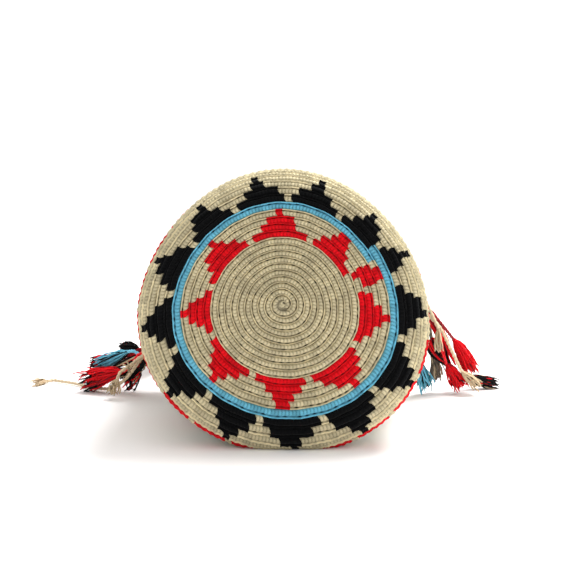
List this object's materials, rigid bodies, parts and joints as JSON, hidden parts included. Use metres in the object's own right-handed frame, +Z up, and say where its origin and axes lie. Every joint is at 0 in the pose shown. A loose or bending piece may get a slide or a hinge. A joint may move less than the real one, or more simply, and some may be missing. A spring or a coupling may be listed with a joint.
{
  "type": "wayuu mochila bag",
  "caption": "Round crocheted shoulder bag lying on its side, with a gathered mouth, a drawstring with tassels and a wide woven strap.",
  "frame": {"origin": "middle of the flat spot under the bag where it lies on the floor, below the middle of the wall's length", "axes": "+Z up from the floor, +Y along the bag's axis from the round base to the mouth, +X to the right seen from the base"},
  "size_m": [0.5034, 0.4473, 0.2394],
  "materials": {
    "crochet_cotton": "crocheted cotton, cream ground with red, black and cyan figures",
    "woven_strap": "thick woven cotton band with coloured stripes",
    "cream_thread": "twisted matt cotton thread",
    "red_thread": "twisted matt cotton thread",
    "dark_red_thread": "twisted matt cotton thread",
    "black_thread": "twisted matt cotton thread",
    "cyan_thread": "twisted matt cotton thread",
    "brown_thread": "twisted matt cotton thread"
  },
  "bodies": {
    "root": {"bag_body": "crochet_cotton", "drawstring": "dark_red_thread", "shoulder_strap": "woven_strap", "strap_seam_left": "cream_thread", "strap_seam_right": "cream_thread", "tassel_knot_left": "cream_thread", "tassel_knot_right": "cream_thread", "tassel_left_black_high_cord": "black_thread", "tassel_left_black_high_tuft": "black_thread", "tassel_left_black_low_cord": "black_thread", "tassel_left_black_low_tuft": "black_thread", "tassel_left_cream_long_cord": "cream_thread", "tassel_left_cream_long_tuft": "cream_thread", "tassel_left_cream_short_cord": "cream_thread", "tassel_left_cream_short_tuft": "cream_thread", "tassel_left_cyan_cord": "cyan_thread", "tassel_left_cyan_tuft": "cyan_thread", "tassel_left_red_back_cord": "red_thread", "tassel_left_red_back_tuft": "red_thread", "tassel_left_red_cord": "red_thread", "tassel_left_red_tuft": "red_thread", "tassel_right_black_cord": "black_thread", "tassel_right_black_tuft": "black_thread", "tassel_right_brown_cord": "brown_thread", "tassel_right_brown_tuft": "brown_thread", "tassel_right_cream_cord": "cream_thread", "tassel_right_cream_tuft": "cream_thread", "tassel_right_cream_tuft_cord": "cream_thread", "tassel_right_cream_tuft_tuft": "cream_thread", "tassel_right_cyan_cord": "cyan_thread", "tassel_right_cyan_tuft": "cyan_thread", "tassel_right_dark_red_cord": "dark_red_thread", "tassel_right_dark_red_tuft": "dark_red_thread", "tassel_right_red_low_cord": "red_thread", "tassel_right_red_low_tuft": "red_thread"}
  },
  "joints": []
}
